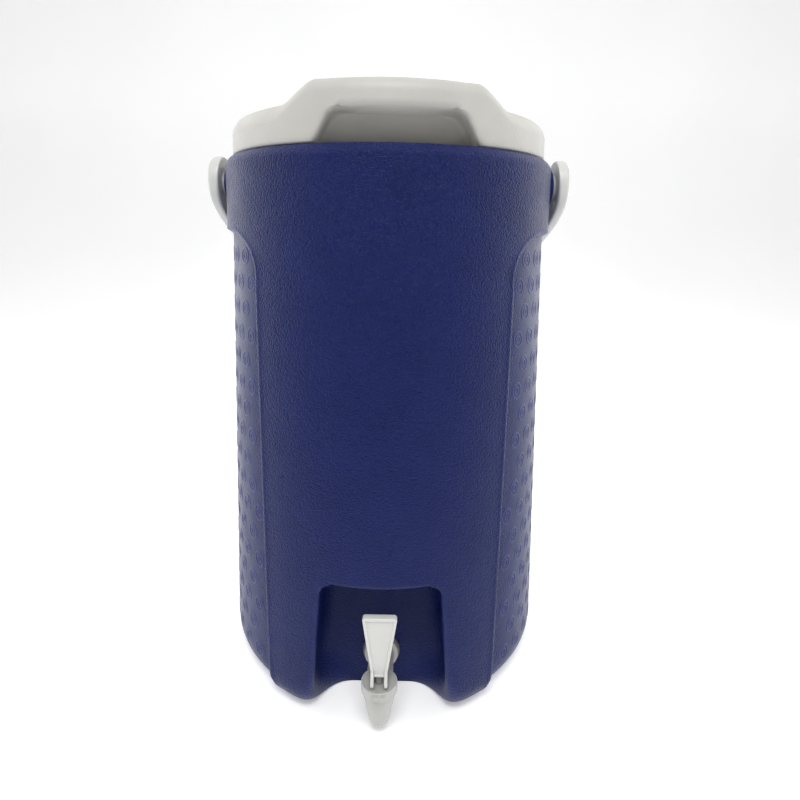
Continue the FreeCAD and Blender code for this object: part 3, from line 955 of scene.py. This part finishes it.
prof = [(3.05, 34.6), (3.05, 36.2), (3.5, 36.5), (10.2, 36.3), (10.6, 36.5),
        (11.0, 37.0), (11.6, 37.0), (12.0, 36.6), (12.1, 36.0),
        (12.1, 31.6), (11.8, 31.2), (11.05, 31.2), (11.05, 34.6),
        (3.05, 34.6)]
cap = lathe("cap", prof, "Z", (0, TY, 0), 72, cap=False)
bm = bmesh.new()
bmesh.ops.create_cube(bm, size=1.0)
for v in bm.verts:
    v.co = Vector((v.co.x * 8.6, v.co.y * 1.5, v.co.z * 4.9)) * MM
    v.co += Vector((0, TY - 12.1 - 0.1, 33.75)) * MM
bmesh.ops.bevel(bm, geom=list(bm.edges) + list(bm.verts), offset=0.0006,
                segments=3, affect="EDGES")
me = bpy.data.meshes.new("tab")
bm.to_mesh(me)
bm.free()
tab = bpy.data.objects.new("tab", me)
bpy.context.scene.collection.objects.link(tab)
for p in tab.data.polygons:
    p.use_smooth = True
cap = join([cap, tab], "tap_cap")
paint(cap, "tap")
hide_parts("tap_bonnet")
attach(cap, "cooler")


# lever: outline in (x, z), front and rear faces with a raised border
def build_lever():
    def ins(d):
        """Blade outline pulled in by d, always with the same point count."""
        zt, zb = 84.0 - d, 43.7 + d * 0.6
        sl = (11.6 - 5.6) / (84.0 - 47.0)
        xt = 11.6 - d * 1.02 - sl * d * 0.0
        xm = 5.6 - d * 1.02
        k = max(0.35, 1.8 - d * 0.55)
        pts = fillet([(0, zt), (xt, zt), (xm, 47.0), (xm, zb), (0, zb)],
                     [0, k, 2.0, max(0.3, 0.7 - d * 0.2)], 6)
        return pts + [(-x, z) for x, z in pts[::-1][1:-1]]
    yf, yr = TY - 2.6, TY + 2.6

    def lean(x, y, z):
        """The foot of the face steps forward over the stem."""
        t = sm((51.5 - z) / 5.0)
        if y > TY:
            y = y - (yr - (TY - 3.5)) * t
        else:
            y = y - 2.9 * t
        return (x, y, z)
    levels = [(0.9, yr), (0.25, yr - 0.25), (0.0, yr - 0.9), (0.0, yf + 0.9),
              (0.25, yf + 0.25), (0.9, yf), (1.7, yf), (2.05, yf + 0.12),
              (2.35, yf + 0.5), (2.6, yf + 1.0), (3.0, yf + 1.15)]
    verts, idx = [], []
    for d, y in levels:
        ring = [lean(x, y, z) for x, z in ins(d)]
        idx.append(list(range(len(verts), len(verts) + len(ring))))
        verts += ring
    faces = grid_faces(idx)
    faces.append(tuple(idx[0]))
    faces.append(tuple(idx[-1]))
    blade = mesh_obj("blade", verts, faces)
    bm = bmesh.new()
    bm.from_mesh(blade.data)
    bmesh.ops.triangulate(bm, faces=[f for f in bm.faces if len(f.verts) > 4])
    bmesh.ops.recalc_face_normals(bm, faces=bm.faces)
    bm.to_mesh(blade.data)
    bm.free()
    parts = [blade]
    for s in (-1, 1):
        # leg side view in (y, z), y from the pin
        c, r = (-5.0, 0.0), 4.9
        leg = []
        for k in range(25):
            a = math.radians(-20 - 160 * k / 24.0)
            leg.append((c[0] + r * math.cos(a), 42.0 + r * math.sin(a)))
        leg += [(-9.9, 43.0), (-8.2, 46.0), (-4.2, 48.6), (-2.6, 51.5),
                (2.6, 51.5), (3.6, 45.0), (3.6, 42.0)]
        for k in range(1, 9):
            a = math.radians(-72 * k / 8.0)
            leg.append((3.6 * math.cos(a), 42.0 + 3.6 * math.sin(a)))
        bm = bmesh.new()
        x0, x1 = (3.3, 5.6) if s > 0 else (-5.6, -3.3)
        va = [bm.verts.new(Vector((x0, TY + y, z)) * MM) for y, z in leg]
        f = bm.faces.new(va)
        ext = bmesh.ops.extrude_face_region(bm, geom=[f])
        for g in ext["geom"]:
            if isinstance(g, bmesh.types.BMVert):
                g.co.x += (x1 - x0) * MM
        bmesh.ops.recalc_face_normals(bm, faces=bm.faces)
        ed = [e for e in bm.edges if abs(e.verts[0].co.x - e.verts[1].co.x)
              < 1e-7]
        bmesh.ops.bevel(bm, geom=ed, offset=0.00035, segments=2,
                        affect="EDGES")
        me = bpy.data.meshes.new("leg")
        bm.to_mesh(me)
        bm.free()
        ob = bpy.data.objects.new("leg", me)
        bpy.context.scene.collection.objects.link(ob)
        for p in ob.data.polygons:
            p.use_smooth = True
        parts.append(ob)
    return join(parts, "lever_paddle")


lever = build_lever()
mod = lever.modifiers.new("wn", "WEIGHTED_NORMAL")
mod.keep_sharp = True
paint(lever, "lever")
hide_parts("tap_lever")
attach(lever, "lever")

# ------------------------------------------- materials of the CAD nodes kept
for nm, key in (("foam_core", "foam"), ("inner_liner", "liner"),
                ("foam_fill_plug", "blue"), ("tap_sleeve", "liner"),
                ("lid_plug", "lid"), ("lid_foam", "foam"),
                ("lid_gasket", "gasket"), ("tap_lever_pin", "steel"),
                ("tap_stem", "stem"), ("tap_seat_cup", "seal"),
                ("tap_spring", "steel"), ("tap_outer_washer", "seal"),
                ("tap_inner_washer", "seal"), ("tap_nut", "tap")):
    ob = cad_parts[nm]
    if not ob.material_slots:
        ob.data.materials.append(M[key])
    for sl in ob.material_slots:
        sl.material = M[key]

# ------------------------------------------------------------ stage, light
bm = bmesh.new()
prof = [(-2.2, 0.0), (1.2, 0.0)]
for k in range(1, 13):
    a = math.radians(90 * k / 12.0)
    prof.append((1.2 + 0.9 * math.sin(a), 0.9 - 0.9 * math.cos(a)))
prof += [(2.1, 3.6)]
cols = []
for x in (-3.5, 3.5):
    cols.append([bm.verts.new((x, y, z)) for y, z in prof])
for i in range(len(prof) - 1):
    bm.faces.new((cols[0][i], cols[1][i], cols[1][i + 1], cols[0][i + 1]))
me = bpy.data.meshes.new("sweep")
bm.to_mesh(me)
bm.free()
sweep = bpy.data.objects.new("sweep", me)
for p in sweep.data.polygons:
    p.use_smooth = True
bpy.context.scene.collection.objects.link(sweep)
fl = Nodes("mat_floor")
fco = fl.coord()
fl.set("Base Color", fl.ramp(fl.noise(fco, 3.0, 3.0), [
    (0.3, (0.90, 0.90, 0.90)), (0.7, (0.93, 0.93, 0.93))]))
fl.set("Roughness", 0.85)
fl.set("Emission Color", (1.0, 1.0, 1.0, 1.0))
fl.set("Emission Strength", 0.32)
sweep.data.materials.append(fl.mat)

world = bpy.data.worlds.new("studio")
bpy.context.scene.world = world
world.use_nodes = True
world.node_tree.nodes["Background"].inputs[0].default_value = (1, 1, 1, 1)
wt = world.node_tree
wtc = wt.nodes.new("ShaderNodeTexCoord")
wsx = wt.nodes.new("ShaderNodeSeparateXYZ")
wmr = wt.nodes.new("ShaderNodeMapRange")
wmr.inputs["From Min"].default_value = -0.80
wmr.inputs["From Max"].default_value = 0.10
wmr.inputs["To Min"].default_value = 0.08
wmr.inputs["To Max"].default_value = 0.92
wt.links.new(wtc.outputs["Generated"], wsx.inputs[0])
wt.links.new(wsx.outputs["Y"], wmr.inputs["Value"])
wt.links.new(wmr.outputs["Result"], wt.nodes["Background"].inputs[1])


def area(name, loc, target, size, size_y, power):
    li = bpy.data.lights.new(name, "AREA")
    li.shape = "RECTANGLE"
    li.size, li.size_y, li.energy = size, size_y, power
    ob = bpy.data.objects.new(name, li)
    ob.location = loc
    d = Vector(target) - Vector(loc)
    ob.rotation_euler = d.to_track_quat("-Z", "Y").to_euler()
    bpy.context.scene.collection.objects.link(ob)
    return ob


area("top", (0.0, -1.0, 1.7), (0, 0, 0.25), 0.9, 0.6, 21)
area("left", (-1.25, 0.55, 0.55), (0, 0, 0.25), 1.5, 1.5, 9)
area("right", (1.25, 0.55, 0.55), (0, 0, 0.25), 1.5, 1.5, 9)

# ------------------------------------------------------------------ camera
cam = bpy.data.cameras.new("cam")
co = bpy.data.objects.new("cam", cam)
bpy.context.scene.collection.objects.link(co)
bpy.context.scene.camera = co
pitch, yaw, roll = math.radians(10.0), math.radians(-0.2), math.radians(0.8)
fwd = Vector((math.sin(yaw) * math.cos(pitch), math.cos(yaw) * math.cos(pitch),
              -math.sin(pitch)))
right = Vector((math.cos(yaw), -math.sin(yaw), 0))
up = right.cross(fwd)
r2 = right * math.cos(roll) + up * math.sin(roll)
u2 = -right * math.sin(roll) + up * math.cos(roll)
rotm = Matrix((r2, u2, -fwd)).transposed()
co.matrix_world = Matrix.Translation(Vector((0.0116, -0.452, 0.3329))) \
    @ rotm.to_4x4()
cam.sensor_width = 36.0
cam.sensor_fit = "HORIZONTAL"
cam.lens = 562.7 / 800 * 36.0
cam.shift_x = 0.0
cam.shift_y = -(326.0 - 400.0) / 800.0 * -1.0
cam.clip_start = 0.01

bpy.context.scene.view_settings.view_transform = "Standard"
bpy.context.view_layer.update()
